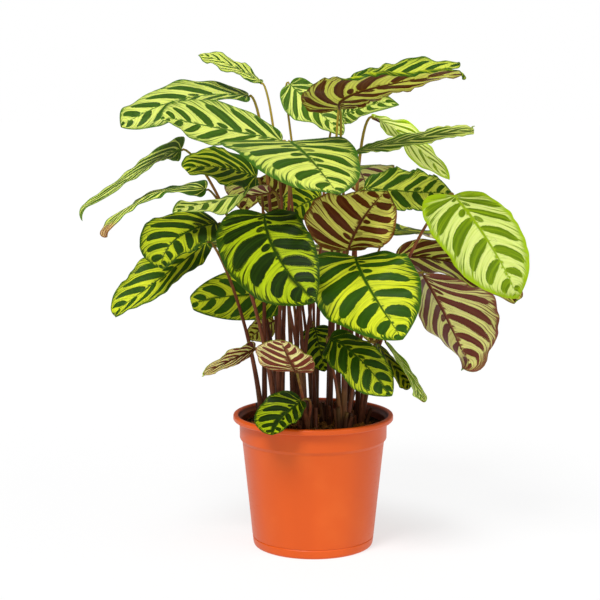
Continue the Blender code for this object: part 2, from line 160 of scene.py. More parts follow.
class Finish:  # one material and the nodes that make its surface
    def __init__(self, name, settings):
        self.material = bpy.data.materials.new(name)
        self.material.use_nodes = True
        self.shader = self.material.node_tree.nodes["Principled BSDF"]
        for socket, value in settings.items():
            self.shader.inputs[socket].default_value = value

    def feed(self, socket, value):
        if isinstance(value, Flow):
            self.material.node_tree.links.new(value.socket, socket)
        else:
            socket.default_value = value

    def node(self, kind, settings, sockets, output=0):
        made = self.material.node_tree.nodes.new(kind)
        for name, value in settings.items():
            if name == "stops":
                self.setStops(made.color_ramp, value)
            else:
                setattr(made, name, value)
        for name, value in sockets.items():
            self.feed(made.inputs[name], value)
        return Flow(self, made.outputs[output])

    def setStops(self, ramp, stops):
        while len(ramp.elements) < len(stops):
            ramp.elements.new(0.5)
        for element, (place, *shade) in zip(ramp.elements, stops):
            element.position = place
            element.color = colour(*shade)

    def attribute(self, name, output="Vector"):
        return self.node("ShaderNodeAttribute", {"attribute_name": name}, {}, output)

    def onObject(self):
        return self.node("ShaderNodeTexCoord", {}, {}, "Object")

    def vector(self, x, y, z):
        return self.node("ShaderNodeCombineXYZ", {}, {"X": x, "Y": y, "Z": z})

    def noise(self, place, scale, detail=2):
        return self.node("ShaderNodeTexNoise", {}, {"Vector": place, "Scale": scale, "Detail": detail})

    def luck(self, number):  # the same chance value wherever the number is the same
        return self.node("ShaderNodeTexWhiteNoise", {"noise_dimensions": "1D"}, {"W": number})

    def shade(self, share, stops):
        return self.node("ShaderNodeValToRGB", {"stops": stops}, {"Fac": share})

    def blend(self, share, first, second):
        return self.node("ShaderNodeMix", {"data_type": "RGBA"}, {0: share, 6: first, 7: second}, 2)

    def bump(self, height, distance, strength):
        sockets = {"Height": height, "Distance": distance, "Strength": strength}
        return self.node("ShaderNodeBump", {}, sockets, "Normal")

    def surface(self, **sockets):
        for name, value in sockets.items():
            self.feed(self.shader.inputs[name.replace("_", " ")], value)
        return self.material


shoots = {  # where each one stands in the soil
    "front_left": (-38, -42), "front": (-6, -52), "front_right": (34, -44), "left": (-56, 0),
    "middle_left": (-20, -8), "middle_right": (16, -6), "right": (52, -4), "back_left": (-36, 40),
    "back": (2, 36), "back_right": (40, 40),
}

usualLeaf = {  # what a leaf is like where its own row doesn't say
    "fold": (0, 0), "curl": (0, 0),  # how its left and right halves rise at the midrib and at the margin
    "twist": 0, "ripple": (3, 2.5, 0),  # its turn from neck to tip; its margins' waves: height, count, phase
    "widest": 0.42, "hook": 6, "lean": (0, 0),  # where it is widest, how far its tip drops, its stalk's lean
    "frill": 0.9, "rimWidth": 1, "sweep": 1,  # the margins' small ripple and dark edge, the veins' slant
    "tipRoll": 0, "rollStart": 0.94, "rolledFrom": None,  # its tip's curl, and where its margin rolls under
    "cover": 0.5, "dry": 0, "lift": 1, "fine": 1,  # how much is dark, its dry end, its painted brightness (light above 1, shade below 1), thin lines
    "pale": False,
}


def leafRow(shoot, neck, waist, tip, halfWidths, face, tone, **others):  # one leaf's values by their names
    neck, waist, tip, face = np.array((neck, waist, tip, face), float)
    row = dict(shoot=shoot, neck=neck, waist=waist, tip=tip, halfWidths=halfWidths, face=face, tone=tone)
    return {**usualLeaf, **row, **others}


# Each row is its shoot, where the blade starts, passes and ends, its half widths to the left and the right,
# the way its top looks, its tone from 0, deep lime, to 1, cream, and what isn't usual about it.
leaves = {
    "top_left": leafRow("middle_left", (-61, 22, 547), (-99, 38, 568), (-137, 60, 581), (12, 19),
        (-0.21, -0.4, 1), 0.72, fold=(-1, -11), curl=(-11, -1), twist=-26, ripple=(3.1, 2.6, 1.7),
        widest=0.55, hook=-1, cover=0.3, tipRoll=60, sweep=1.7, frill=0.8, rimWidth=1.3, fine=0.3),
    "high_left": leafRow("back_left", (-77, 47, 532), (-157, 25, 527), (-224, 0, 495), (36, 43),
        (1, 0.28, 0.71), 0.75, fold=(-7, 16), curl=(-17, -2), twist=21, ripple=(6.5, 1.2, 4.8), widest=0.45,
        hook=-5, cover=0.6, dry=0.05, frill=2.6, sweep=1.1, rimWidth=0.8),
    "high_left_front": leafRow("front_left", (-36, -20, 481), (-121, -48, 498), (-166, -82, 509), (25, 33),
        (-0.21, -1, 0.71), 0.76, fold=(4, 4), curl=(5, 4), twist=-16, ripple=(3.7, 1.4, 4.6), widest=0.48,
        hook=5, cover=0.62, frill=1.8, rimWidth=0.8),
    "long_left": leafRow("back_left", (-157, 45, 468), (-203, 42, 446), (-273, 1, 392), (32, 35),
        (-1, -0.3, 0.29), 0.8, fold=(-1, 6), curl=(-1, 7), twist=-32, ripple=(1.4, 2, 2.6), widest=0.36,
        hook=-9, lean=(0, 25), cover=0.9, tipRoll=90, frill=1.4, sweep=1.9, lift=1.05, fine=0.3),
    "striped_left": leafRow("left", (-67, 25, 436), (-106, 0, 449), (-152, -35, 450), (33, 33),
        (-0.2, -0.7, 0.8), 0.5, fold=(0, 10), curl=(-10, 0), cover=0.8, tipRoll=120, frill=1, sweep=1.9,
        lift=1.15),
    "long_left_low": leafRow("back_left", (-126, 12, 423), (-193, -2, 416), (-246, -40, 371), (24, 36),
        (-1, -0.13, 0.28), 0.75, fold=(-14, 10), curl=(-25, 12), twist=-12, ripple=(1.9, 2.2, 2.5),
        widest=0.46, hook=2, lean=(0, 20), cover=0.8, dry=0.19, frill=1.4, tipRoll=90, rollStart=0.93,
        sweep=1.9, lift=1.2, fine=0.15),
    "narrow_left": leafRow("front_left", (-50, -33, 422), (-115, -57, 413), (-154, -114, 408), (34, 15),
        (1, 0.7, 0.57), 0.78, fold=(4, 14), curl=(-7, -5), twist=67, ripple=(6.5, 1.2, 0.4), widest=0.37,
        hook=3, cover=0.45, frill=1.4, sweep=1.3, fine=0.6),
    "folded_left": leafRow("front_left", (-109, -50, 388), (-152, -90, 375), (-169, -110, 344), (34, 50),
        (-0.35, -0.8, 0.6), 0.3, curl=(10, -10), lean=(0, -10), cover=0.75, frill=1, rimWidth=1.5, lift=0.9),
    "low_left": leafRow("left", (-125, 10, 360), (-176, -40, 324), (-234, -60, 283), (22, 36),
        (-0.35, -0.8, 0.6), 0.45, curl=(10, 10), lean=(0, -12), cover=0.7, frill=1.8, tipRoll=60, sweep=1.4),
    "inner_low_left": leafRow("middle_left", (-34, 22, 296), (-87, 20, 297), (-152, 15, 286), (31, 31),
        (-0.1, -1, 0.15), 0.4, cover=0.8, tipRoll=60, lift=1.2),
    "thin_low_left": leafRow("front_left", (-69, -16, 238), (-96, -49, 231), (-132, -80, 218), (14, 14),
        (-0.9, 1, 0.78), 0.9, fold=(3, 2), curl=(2, 0), twist=-6, ripple=(1.4, 2.7, 4.1), widest=0.32, hook=5,
        cover=0.7, tipRoll=90, frill=0.5, sweep=2, lift=1.2, fine=0.3),
    "inner_low_turned": leafRow("back_left", (-48, 82, 257), (-64, 76, 247), (-79, 70, 236), (17, 17),
        (-0.2, 0.9, 0.3), 0.3),
    "rim_front": leafRow("front", (-14, -74, 188), (-37, -93, 171), (-46, -118, 156), (21, 31),
        (-0.39, -0.9, 1), 0.1, fold=(3, 5), curl=(14, 15), twist=-10, ripple=(1.7, 1.6, 5.3), widest=0.44,
        hook=-3, cover=0.9, rimWidth=1.3),
    "small_front": leafRow("front", (-20, -90, 225), (-29, -109, 245), (-37, -122, 268), (28, 43),
        (0.53, 1, 0.78), 0.9, fold=(5, 4), curl=(-5, -6), twist=-6, ripple=(2.7, 1.4, 3.1), widest=0.45,
        hook=4, cover=0.85, rimWidth=0.6, sweep=1.2, lift=1.25),
    "inner_low": leafRow("back", (2, 18, 258), (8, 16, 232), (14, 12, 206), (22, 22), (0.1, -1, 0.1), 0.1,
        cover=0.7),
    "centre_front": leafRow("front", (-55, -97, 402), (-39, -148, 360), (1, -175, 315), (42, 61),
        (0.05, -1, 0.36), 0.08, fold=(15, 12), curl=(-1, 14), twist=-13, ripple=(3, 3.2, 1.6), widest=0.48,
        hook=-1, cover=0.85, rimWidth=1.5, lift=1.08),
    "centre_right": leafRow("front_right", (46, -84, 353), (61, -125, 322), (94, -164, 274), (55, 64),
        (0.19, -1, -0.23), 0.42, fold=(-7, 10), curl=(2, 25), twist=-30, ripple=(6.2, 3, 5.7), widest=0.54,
        hook=3, cover=0.68, rimWidth=1.5),
    "centre_turned": leafRow("front_right", (39, -68, 359), (56, -64, 395), (82, -88, 431), (43, 63),
        (0.57, 1, 0.54), 0.4, fold=(-13, -19), curl=(-20, -26), twist=45, ripple=(6.1, 3.8, 5), widest=0.48,
        hook=5, cover=0.65),
    "inner_centre": leafRow("middle_left", (10, 10, 415), (-11, 0, 407), (-32, -20, 396), (25, 25),
        (0.2, -0.9, 0.5), 0.3, cover=0.6),
    "inner_left_turned": leafRow("middle_left", (-25, 64, 399), (-45, 64, 416), (-67, 62, 433), (26, 26),
        (-0.3, 0.9, 0.4), 0.2, lift=0.7, cover=0.9),
    "crown_front": leafRow("front", (-27, -62, 481), (-2, -118, 461), (26, -169, 426), (62, 92),
        (0.19, -0.83, 1), 0.7, fold=(-8, 14), curl=(1, -5), twist=-8, ripple=(5.5, 1.2, 4.7), widest=0.28,
        hook=-4, cover=0.45, frill=1.5, rimWidth=1.2),
    "crown_back": leafRow("back", (-28, 93, 546), (8, 70, 512), (36, 47, 487), (24, 31), (0.88, -1, 0.09),
        0.78, fold=(23, -8), curl=(25, 2), twist=-28, ripple=(5, 1.6, 1.3), widest=0.41, hook=2, lean=(6, 10),
        cover=0.62, sweep=1.4, lift=1.08),
    "crown_back_right": leafRow("back", (30, 111, 504), (57, 106, 516), (94, 72, 527), (30, 36),
        (-0.37, -1, 0.92), 0.78, fold=(23, 12), curl=(34, 23), twist=29, ripple=(1.7, 2.2, 3.9), widest=0.41,
        hook=14, cover=0.65, sweep=1.6),
    "top_right": leafRow("middle_right", (34, 21, 532), (89, -23, 552), (173, -58, 565), (26, 33),
        (-0.52, -0.16, 1), 0.55, fold=(30, 0), curl=(1, 1), twist=1, ripple=(2, 2, 4.3), widest=0.28, hook=-2,
        cover=0.6, frill=2.4, tipRoll=-160, lift=0.94),
    "top_right_turned": leafRow("front_right", (29, -44, 517), (59, -91, 539), (175, -129, 558), (30, 52),
        (0.11, 0.78, 1), 0.3, fold=(9, -12), curl=(10, -13), twist=23, ripple=(2.4, 4.2, 3.3), widest=0.44,
        hook=1, lean=(-5, -4), cover=0.6, frill=2.4, tipRoll=160, sweep=1.2, lift=1.1,
        rolledFrom=(0.48, 0.98)),
    "dark_right": leafRow("middle_right", (48, -34, 469), (117, -66, 485), (184, -83, 497), (21, 20),
        (0.15, -0.41, 1), 0.8, fold=(2, -2), curl=(3, -2), twist=-3, ripple=(0.8, 3.7, 4.1), widest=0.49,
        hook=8, lean=(0, 8), cover=0.85, tipRoll=200, sweep=1.6, rimWidth=0.6, frill=1.2, lift=1.35,
        fine=0.3),
    "pale_right": leafRow("back_right", (72, 50, 506), (112, 50, 481), (160, 23, 433), (24, 34),
        (-0.2, -0.17, 1), 1, fold=(6, 4), curl=(7, 4), twist=-15, ripple=(4.2, 1.8, 1.8), widest=0.41,
        hook=-1, cover=0.25, frill=2, sweep=1.8, lift=1.3, fine=0.4),
    "mid_right": leafRow("right", (60, 20, 424), (122, -9, 421), (156, -33, 422), (26, 36), (-0.22, -0.99, 1),
        0.6, fold=(26, 7), curl=(24, 7), twist=39, ripple=(2.8, 4.2, 6.1), widest=0.32, hook=7, cover=0.55,
        frill=1.8, lift=1.2),
    "big_right": leafRow("right", (157, -66, 421), (193, -101, 371), (225, -116, 311), (49, 60),
        (0.29, -1, 0.46), 1, fold=(-7, 1), curl=(2, 11), twist=29, ripple=(1.7, 2.4, 0.7), widest=0.28,
        hook=8, frill=1.5, lift=0.92, pale=True),
    "right_turned": leafRow("back_right", (99, 30, 342), (182, 40, 329), (255, 40, 283), (35, 35),
        (-0.1, 0.7, 0.8), 0.4, curl=(10, 10), ripple=(4, 2.5, 0), cover=0.6, tipRoll=120, sweep=1.5,
        lift=1.25),
    "hanging_right": leafRow("right", (128, -21, 326), (159, 5, 270), (187, 17, 211), (57, 61),
        (0.87, 0.68, -1), 0.75, fold=(10, 12), curl=(16, 24), twist=28, ripple=(6.5, 1.9, 2.6), widest=0.56,
        hook=-6, lean=(0, -15), cover=0.6, frill=2.4, sweep=1.7, tipRoll=150, rollStart=0.93, lift=1.05),
    "low_right": leafRow("front_right", (18, -92, 263), (51, -117, 243), (83, -131, 204), (27, 31),
        (0.87, -1, -0.29), 0.3, fold=(-8, 0), curl=(-9, 0), twist=24, ripple=(2.9, 2.5, 5.5), widest=0.57,
        hook=-8, cover=0.95),
    "low_right_inner": leafRow("front_right", (73, -42, 248), (98, -55, 216), (111, -59, 200), (16, 25),
        (1, -0.72, 0.47), 0.35, fold=(-2, 10), curl=(-2, 11), twist=20, ripple=(1.3, 2.2, 6.2), widest=0.45,
        hook=1, cover=0.65),
    "narrow_low_right": leafRow("right", (84, -46, 251), (114, -59, 207), (123, -69, 185), (18, 26),
        (0.82, -0.36, 1), 0.9, fold=(-3, 9), curl=(-3, 10), twist=10, ripple=(1.2, 1.5, 3.6), widest=0.52,
        hook=-2, cover=0.9, dry=0.1, sweep=2, lift=1.3, fine=0.4),
    "back_left": leafRow("back", (-45, 115, 425), (-68, 170, 425), (-90, 225, 385), (46, 46),
        (-0.2, 0.5, 0.9), 0.4),
    "back_right": leafRow("back_right", (40, 110, 440), (58, 168, 440), (76, 228, 402), (48, 48),
        (0.1, 0.5, 0.9), 0.6),
    "back_centre": leafRow("back", (0, 120, 345), (-4, 178, 335), (-10, 232, 290), (52, 52), (0, 0.6, 0.8),
        0.3),
    "back_side_right": leafRow("back_right", (92, 75, 365), (140, 118, 365), (186, 158, 335), (43, 43),
        (0.4, 0.3, 0.9), 0.5),
    "back_side_left": leafRow("back_left", (-88, 80, 350), (-132, 122, 350), (-176, 160, 320), (43, 43),
        (-0.4, 0.3, 0.9), 0.4),
    "back_low": leafRow("back_right", (40, 90, 265), (62, 135, 255), (84, 175, 215), (38, 38),
        (0.2, 0.6, 0.7), 0.3),
}

leafLook = {  # what all leaves share
    "columns": 44, "rows": 66, "crowding": 1.35,  # columns stand closer near the midrib
    "thickness": 0.5, "groove": 0.6, "grooveWidth": 1.3, "puff": 0.7, "crumple": 0.7, "lobe": 0.16,
    "hookStart": 0.82, "leftPhase": 1.3, "marginStart": 0.88, "marginRoll": 190,
    "veinStarts": (0, 0, 0.03, 0.16, 0.36, 0.57, 0.76, 0.92, 1.02),  # shares of the midrib
    "veinEnds": (0.02, 0.1, 0.26, 0.46, 0.66, 0.83, 0.94, 0.99, 1.05),  # shares of the length at the margin
    "veinBend": 1.35,
    "roughness": 0.4, "sheen": 0.11, "ribs": 7, "ribHeight": 0.3, "smoothAngle": 60,
    "glow": 0.4, "glowDepth": 2, "glowColour": (0.8, 1, 0.3),  # the light that comes through
    # The pattern, in shares of the half width or of the way between two side veins
    "ovalReach": 0.98, "ovalShrink": 0.065, "ovalWidth": 0.17, "dotPlace": 0.13, "dotSize": (0.1, 0.17),
    "lineWidth": 0.08, "sideLinePlace": 0.2, "sideLineWidth": 0.045, "tailWidth": 0.075,
    "midribWidth": 0.065, "marginWidth": 0.07, "toothDepth": 0.26, "fillFrom": (0.62, 0.74),
}

dryShades = {"dry": colour(206, 168, 118), "dryDark": colour(128, 72, 46)}

topShades = {  # each a tone and its red, green and blue
    "ground": [(0, 148, 168, 6), (0.45, 203, 211, 40), (0.75, 213, 224, 110), (1, 208, 220, 128)],
    "ovals": [(0, 9, 16, 1), (0.45, 38, 70, 4), (0.75, 50, 80, 18), (1, 84, 110, 4)],
    "margin": [(0, 36, 58, 4), (0.45, 46, 84, 6), (0.75, 66, 106, 30), (1, 148, 176, 10)],
    **dryShades,
}

underShades = {
    "ground": [(0, 214, 216, 84), (0.5, 218, 216, 104), (0.75, 226, 228, 138), (1, 240, 226, 150)],
    "ovals": [(0, 78, 32, 4), (0.5, 80, 30, 8), (0.75, 98, 44, 36), (1, 104, 40, 22)],
    "margin": [(0, 112, 90, 14), (0.5, 106, 50, 22), (0.75, 122, 66, 52), (1, 124, 60, 40)],
    **dryShades,
}


def makeLeafFinish(name, shades, look):
    finish = Finish(name, {
        "IOR": 1.45, "Specular IOR Level": look["sheen"], "Subsurface Weight": look["glow"],
        "Subsurface Radius": look["glowColour"], "Subsurface Scale": mm(look["glowDepth"])})
    across, vein, rim = finish.attribute("leafPlace").parts()
    tone, seed, side = finish.attribute("leafKind").parts()
    cover, dry, along = finish.attribute("leafMood").parts()
    lift, fine, _ = finish.attribute("leafTune").parts()

    def grain(outward, onward, mix, scale=1, detail=2):  # noise that runs with the side veins
        return finish.noise(finish.vector(across * outward, vein * onward, seed * mix + side), scale, detail)

    drift = finish.noise(finish.vector(across * 2.5, vein, seed * 9 + side * 3), 1, 3) - 0.5
    ragged = grain(14, 2, 5) - 0.5
    place = vein + drift * 0.2
    number = math.floor(place + 0.5)
    off = abs(place - number)  # 0 on an oval's vein, 0.5 midway between two ovals
    between = 0.5 - off
    chance = finish.luck(number + seed * 7.3 + side * 0.37)
    otherChance = finish.luck(math.floor(place) + seed * 5.1 + side * 0.61)

    ovalEnd = look["ovalReach"] - number * look["ovalShrink"] + chance * 0.08 + cover * 0.1
    ovalLong = abs((across - ovalEnd * 0.5 - 0.01) / (ovalEnd * 0.5)) ** 2.6
    ovalHalf = look["ovalWidth"] + 0.08 * chance + 0.1 * across + number.rise(2.6, 0.9) * 0.09
    ovalWide = ((off + ragged * 0.07) / (ovalHalf * (0.55 + cover * 0.9))) ** 2.2
    oval = (ovalLong + ovalWide).rise(1.1, 0.93)
    dotLong, dotWide = look["dotSize"]
    dot = (abs((across - look["dotPlace"]) / dotLong) ** 2 + (between / dotWide) ** 2).rise(1.3, 0.8)
    dot = dot * otherChance.rise(0.25, 0.4) * vein.rise(5.6, 4.6)
    tail = off.rise(look["tailWidth"], 0.02) * across.rise(0.6, 0.8)
    line = between.rise(across * look["lineWidth"], 0.01) * across.rise(0.35, 0.75) * fine
    sideLine = abs(between - look["sideLinePlace"]).rise(across * look["sideLineWidth"], 0.005)
    sideLine = sideLine * across.rise(0.6, 0.95) * 0.85 * fine
    hair = (grain(1.6, 15, 4) + across ** 4 * 0.14).rise(0.64, 0.71) * across.rise(0.25, 0.75) * 0.85 * fine
    fill = (cover - across - otherChance * 0.4).rise(*look["fillFrom"])  # the darkest leaves, at the midrib
    teeth = grain(1, 7, 5, 1.6, 3) - 0.5
    softness = tone.rise(0.9, 1) * 0.07
    margin = (rim - teeth * look["toothDepth"] * fine).rise(look["marginWidth"] + softness, 0.03)
    smudge = grain(1, 3, 1, 2.2).rise(0.5, 0.6)
    midrib = (across + along * 0.035).rise(look["midribWidth"], 0.03)
    midrib = midrib.orElse(across.rise(0.1, 0.04) * smudge)
    dark = oval.orElse(fill).orElse(dot).orElse(tail).orElse(line).orElse(sideLine)
    dark = dark.orElse(hair).orElse(midrib).orElse(margin)

    streak, stria = grain(1.2, 11, 3), grain(1, 38, 2)
    grounds, ovals, margins = (finish.shade(tone, shades[part]) for part in ("ground", "ovals", "margin"))
    ground = finish.blend(streak.rise(0.46, 0.68) * 0.36, grounds, margins)
    ground = finish.blend(across.rise(0.6, 1.1) * 0.25, ground, margins)
    ground = finish.blend(stria.rise(0.46, 0.7) * 0.3 * fine, ground, margins)
    glow = off.rise(0.13, 0.03) * 0.22 + streak.rise(0.4, 0.75) * 0.4 + stria.rise(0.5, 0.7) * 0.2
    ovalShade = finish.blend(glow, ovals, margins)
    darkShade = finish.blend(margin.orElse(midrib * 0.7), ovalShade, margins)
    shade = finish.blend(dark, ground, darkShade)
    dryShade = finish.blend(dark.orElse(streak.rise(0.45, 0.6)), shades["dry"], shades["dryDark"])
    shade = finish.blend((along + dry + teeth * 0.05).rise(1.03, 1.1) * 0.85, shade, dryShade)
    # Painted light and shade: each leaf's lift brightens a leaf that lies in shade and darkens one that should
    # look shaded
    shade = finish.node("ShaderNodeHueSaturation", {}, {"Color": shade, "Value": lift}, "Color")
    ribs = (vein * (2 * math.pi * look["ribs"])).sine()
    cells = finish.noise(finish.onObject(), 900)
    bump = finish.bump(ribs * 0.5 + cells * 0.5 + streak, mm(look["ribHeight"]), 0.4)
    return finish.surface(Base_Color=shade, Roughness=look["roughness"] + streak * 0.14, Normal=bump)


def middleControl(leaf):
    return 2 * leaf["waist"] - (leaf["neck"] + leaf["tip"]) / 2


def neckDirections(leaf):  # the way ahead along the midrib, and the way the top side looks
    ahead = unit(middleControl(leaf) - leaf["neck"])
    right = unit(np.cross(ahead, leaf["face"]))
    return ahead, np.cross(right, ahead)


def halfOutline(along, widest):
    behind = np.clip((widest - along) / widest, 0, 1)
    ahead = np.clip((along - widest) / (1 - widest), 0, 1)
    return np.where(along < widest, (1 - behind ** 2.6) ** 0.5, (1 - ahead ** 2.2) ** 0.78)


def veinNumbers(along, across, side, sweep, look):  # which side vein passes each place, and how far between
    numbers = np.linspace(0, 8, 161)
    steps = np.arange(9)
    starts = np.interp(numbers, steps, look["veinStarts"])
    ends = np.interp(numbers, steps, look["veinEnds"])
    reached = starts + (ends - starts) * sweep * across[:, None] ** look["veinBend"]
    found = np.array([np.interp(place, row, numbers) for place, row in zip(along, reached)])
    return found + 0.5 * side


def rimDistances(along, reach, leaf, length):  # from each place to the nearest margin, flat
    steps = np.linspace(0, 1, 120)
    outline = halfOutline(steps, leaf["widest"])
    rims = [np.column_stack((sign * width * outline, steps * length))
            for sign, width in zip((-1, 1), leaf["halfWidths"])]
    rim = np.vstack(rims)
    places = np.column_stack((reach, along * length))
    return np.min(np.linalg.norm(places[:, None] - rim[None], axis=2), axis=1)


def midribFrame(leaf, t):  # the midrib's places, and the ways ahead, to the right and up from them
    neck, tip, control = leaf["neck"], leaf["tip"], middleControl(leaf)
    midrib = (1 - t) ** 2 * neck + 2 * t * (1 - t) * control + t ** 2 * tip
    ahead = unit(2 * (1 - t) * (control - neck) + 2 * t * (tip - control))
    right = unit(np.cross(ahead, leaf["face"]))
    normal = np.cross(right, ahead)
    turn = np.radians(leaf["twist"]) * (t - 0.5)
    return (midrib, ahead, right * np.cos(turn) - normal * np.sin(turn),
            normal * np.cos(turn) + right * np.sin(turn))


def midribLength(leaf):
    control = middleControl(leaf)
    return np.linalg.norm(control - leaf["neck"]) + np.linalg.norm(leaf["tip"] - control)


def rollTip(points, t, leaf):  # winds the tip into a curl, down or, below 0 degrees, up
    start = leaf["rollStart"]
    midrib, ahead, right, normal = midribFrame(leaf, np.maximum(t, start))
    place, startAhead, startRight, startNormal = midribFrame(leaf, np.array([[start]]))
    angle = np.radians(leaf["tipRoll"])
    turned = angle * (np.maximum(t, start) - start) / (1 - start)
    radius = midribLength(leaf) * (1 - start) / angle
    newAhead = startAhead * np.cos(turned) - startNormal * np.sin(turned)
    newNormal = startNormal * np.cos(turned) + startAhead * np.sin(turned)
    newMidrib = place + radius * (startAhead * np.sin(turned) - startNormal * (1 - np.cos(turned)))
    offset = points - midrib
    shares = [np.sum(offset * way, axis=1, keepdims=True) for way in (ahead, right, normal)]
    rolled = newMidrib + shares[0] * newAhead + shares[1] * startRight + shares[2] * newNormal
    return np.where(t > start, rolled, points)


def rollMargin(t, v, halfWidth, outline, leaf, look):  # how far a margin that rolls under comes in and down
    start, angle = look["marginStart"], math.radians(look["marginRoll"])
    first, last = leaf["rolledFrom"]
    spread = np.clip((t - first) / 0.15, 0, 1) * np.clip((last - t) / 0.15, 0, 1)
    turned = angle * np.clip((v - start) / (1 - start), 0, 1) * spread
    flat = halfWidth * outline * np.clip(v - start, 0, 1)
    bent = np.maximum(turned, 0.001)
    return flat * (1 - np.sin(bent) / bent), flat * (1 - np.cos(bent)) / bent


def shapeBlade(leaf, number, along, across, look):  # along is 0 at the neck to 1 at the tip, across -1 to 1
    t, v = along[:, None], across[:, None]
    midrib, ahead, right, normal = midribFrame(leaf, t)
    side = np.where(v < 0, 0, 1)
    halfWidth, fold, curl = (np.take(leaf[key], side) for key in ("halfWidths", "fold", "curl"))
    distance = np.abs(v)
    outline = halfOutline(t, leaf["widest"])
    reach = halfWidth * outline * distance
    rise = np.radians(fold + curl * distance / 2)
    back = look["lobe"] * 2 * halfWidth * outline * distance ** 1.5 * (1 - t) ** 3
    waveHeight, count, phase = leaf["ripple"]
    waves = 2 * math.pi * count * t + phase
    swell = np.sqrt(np.sin(math.pi * t))
    ripple = waveHeight * distance ** 2 * np.sin(waves + look["leftPhase"] * (1 - side)) * swell
    uneven = 0.6 + 0.4 * np.sin(1.3 * waves + 2 * number + 3 * side)
    frill = leaf["frill"] * distance ** 4 * np.sin(3.4 * waves + 5 * side) * uneven * swell
    folds = np.sin(11 * t + 4 * v + 2.4 * number) + np.sin(23 * t - 5 * v + 4.1 * number)
    crumple = look["crumple"] * distance ** 1.5 * folds * swell
    drop = leaf["hook"] * np.clip((t - look["hookStart"]) / (1 - look["hookStart"]), 0, 1) ** 2

    numbers = veinNumbers(along, np.abs(across), side[:, 0], leaf["sweep"], look)
    size = np.mean(leaf["halfWidths"]) / 45
    puff = look["puff"] * size * np.cos(2 * math.pi * numbers)[:, None] * distance * (1 - distance ** 3) * swell
    groove = look["groove"] * size * np.exp(-(reach / look["grooveWidth"]) ** 2) * swell
    points = (midrib - ahead * back + right * np.sign(v) * reach * np.cos(rise)
              + normal * (reach * np.sin(rise) + ripple + frill + crumple + puff - groove - drop))
    if leaf["rolledFrom"]:
        inward, down = rollMargin(t, v, halfWidth, outline, leaf, look)
        points = points - right * inward - normal * down
    if leaf["tipRoll"]:
        points = rollTip(points, t, leaf)
    rim = rimDistances(along, (np.sign(v) * reach)[:, 0], leaf, midribLength(leaf))
    return points, numbers, rim / (np.mean(leaf["halfWidths"]) * leaf["rimWidth"])


def makeFlatBlade(look):
    blade = addPiece(bpy.ops.mesh.primitive_grid_add, size=2, x_subdivisions=look["columns"],
                     y_subdivisions=look["rows"])
    blade.name = "flat_blade"
    return blade


def makeLeaf(name, leaf, number, flatBlade, finishes, look):
    piece = copyPiece(flatBlade, "leaf_" + name)
    flat = readPoints(piece)
    across = np.sign(flat[:, 0]) * np.abs(flat[:, 0]) ** look["crowding"]
    along = (1 - np.cos(math.pi * np.clip((flat[:, 1] + 1) / 2, 0, 1))) / 2
    points, numbers, rim = shapeBlade(leaf, number, along, across, look)
    writePoints(piece, mm(points))
    giveAttribute(piece, "leafPlace", np.abs(across), numbers, rim)
    giveAttribute(piece, "leafKind", leaf["tone"], number, np.sign(across))
    giveAttribute(piece, "leafMood", leaf["cover"], leaf["dry"], along)
    # Its painted brightness, and how strong its thin lines are
    giveAttribute(piece, "leafTune", leaf["lift"], leaf["fine"], 0)
    pickOnly(piece)
    editAll()
    bpy.ops.mesh.remove_doubles(threshold=0.00001)
    bpy.ops.object.mode_set(mode="OBJECT")
    for finish in finishes:
        piece.data.materials.append(finish)
    wall = piece.modifiers.new("thickness", "SOLIDIFY")
    wall.thickness = mm(look["thickness"])
    wall.offset = 0
    wall.material_offset = 1
    applyModifiers(piece)
    bpy.ops.object.shade_smooth_by_angle(angle=math.radians(look["smoothAngle"]))
    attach(piece, "root")
    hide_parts("blade_" + name)


leafTop = makeLeafFinish("leaf top", topShades, leafLook)
leafUnder = makeLeafFinish("leaf underside", underShades, leafLook)
flatBlade = makeFlatBlade(leafLook)
for number, (name, leaf) in enumerate(leaves.items()):
    makeLeaf(name, leaf, number, flatBlade, (leafTop, leafUnder), leafLook)
bpy.data.objects.remove(flatBlade)
print("leaves made:", len(leaves))


stalkLook = {
    "footHeight": 138, "footSpread": 4, "rise": 0.55, "leanOut": 0.12, "bendReach": 18, "straight": 3,
    "footRadius": 2.3, "neckRadius": 1.3, "girths": (0.85, 1.15), "steps": 20, "sides": 3,
    "ribShare": 0.82, "ribSlim": 0.85, "ribGap": 0.3, "ribTipRadius": 0.35,  # the midrib under the blade
    "sheathRadius": 3.7, "sheathTip": 1.7, "sheathShares": (0.25, 0.55), "sheathShades": (0.08, 0.3),
    "husks": 10, "huskHeights": (16, 40), "huskSpread": 12, "huskLean": 0.08, "huskBend": 4,
    "huskRadius": 3.2, "huskTip": 1.9, "huskShades": (0.02, 0.14), "seed": 5, "smoothAngle": 50,
    "roughness": 0.46, "sheen": 0.2, "freshHeights": (mm(400), mm(480)),
}

stalkShades = {  # the skin by the share of the way up: 0 at the soil, 0.5 at the blade, 1 at the midrib's end
    # The near-black stops by the soil are painted shade among the crowded stalks, over their own dark brown
    "skin": [(0, 28, 15, 5), (0.07, 70, 40, 19), (0.26, 138, 72, 46),
             (0.36, 134, 92, 42), (0.44, 130, 114, 34), (0.52, 104, 52, 24),
             (1, 88, 42, 18)],
    "streak": colour(58, 24, 12), "patch": colour(128, 104, 44), "fresh": colour(160, 142, 40),
}


